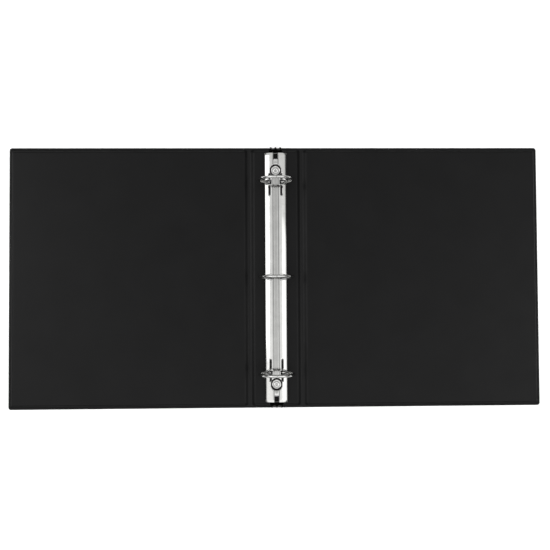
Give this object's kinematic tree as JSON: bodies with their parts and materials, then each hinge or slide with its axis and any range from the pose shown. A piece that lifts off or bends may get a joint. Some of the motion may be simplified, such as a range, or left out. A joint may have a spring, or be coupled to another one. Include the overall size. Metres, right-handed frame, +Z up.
{
  "type": "ring binder",
  "caption": "Vinyl-covered ring binder lying open and flat, with hinged covers and a plated arch-plate ring mechanism opened by end levers.",
  "frame": {"origin": "centre of the spine's underside, on the surface that the open binder lies on", "axes": "+X across the open case towards the back cover, +Y up the page, +Z up from the inside of the case"},
  "size_m": [0.6054, 0.297, 0.0472],
  "materials": {
    "cover_vinyl": "matte",
    "lining_vinyl": "matte",
    "greyboard": "matte",
    "nickel_plate": "polished",
    "zinc_steel": "satin",
    "nickel_wire": "polished",
    "nickel_lever": "polished",
    "steel_pin": "satin",
    "nickel_rivet": "polished"
  },
  "bodies": {
    "spine": {"spine_outer_vinyl": "cover_vinyl", "spine_board": "greyboard", "spine_inner_vinyl": "lining_vinyl", "arch_plate": "nickel_plate", "top_rivet": "nickel_rivet", "bottom_rivet": "nickel_rivet", "top_lever_pin": "steel_pin", "bottom_lever_pin": "steel_pin"},
    "front_cover": {"front_outer_vinyl": "cover_vinyl", "front_board": "greyboard", "front_inner_vinyl": "lining_vinyl"},
    "back_cover": {"back_outer_vinyl": "cover_vinyl", "back_board": "greyboard", "back_inner_vinyl": "lining_vinyl"},
    "left_rings": {"left_hinge_plate": "zinc_steel", "top_left_half_ring": "nickel_wire", "middle_left_half_ring": "nickel_wire", "bottom_left_half_ring": "nickel_wire"},
    "right_rings": {"right_hinge_plate": "zinc_steel", "top_right_half_ring": "nickel_wire", "middle_right_half_ring": "nickel_wire", "bottom_right_half_ring": "nickel_wire"},
    "top_lever": {"top_lever": "nickel_lever"},
    "bottom_lever": {"bottom_lever": "nickel_lever"}
  },
  "joints": [
    {"name": "front_cover_hinge", "type": "hinge", "parent": "spine", "child": "front_cover", "pos_m": [-0.03, 0, 0.0013], "axis": [0, 1, 0], "range_deg": [0, 90]},
    {"name": "back_cover_hinge", "type": "hinge", "parent": "spine", "child": "back_cover", "pos_m": [0.03, 0, 0.0013], "axis": [0, -1, 0], "range_deg": [0, 90]},
    {"name": "left_ring_hinge", "type": "hinge", "parent": "spine", "child": "left_rings", "pos_m": [-0.01095, 0, 0.0065], "axis": [0, -1, 0], "range_deg": [0, 11]},
    {"name": "right_ring_hinge", "type": "hinge", "parent": "spine", "child": "right_rings", "pos_m": [0.01095, 0, 0.0065], "axis": [0, 1, 0], "range_deg": [0, 11]},
    {"name": "top_lever_pivot", "type": "hinge", "parent": "spine", "child": "top_lever", "pos_m": [0, 0.134, 0.0076], "axis": [-1, 0, 0], "range_deg": [0, 16.5]},
    {"name": "bottom_lever_pivot", "type": "hinge", "parent": "spine", "child": "bottom_lever", "pos_m": [0, -0.134, 0.0076], "axis": [1, 0, 0], "range_deg": [0, 16.5]}
  ],
  "couplings": [
    {"joint": "right_ring_hinge", "follows": "left_ring_hinge", "ratio": 1},
    {"joint": "top_lever_pivot", "follows": "left_ring_hinge", "ratio": 1.5},
    {"joint": "bottom_lever_pivot", "follows": "left_ring_hinge", "ratio": 1.5}
  ]
}
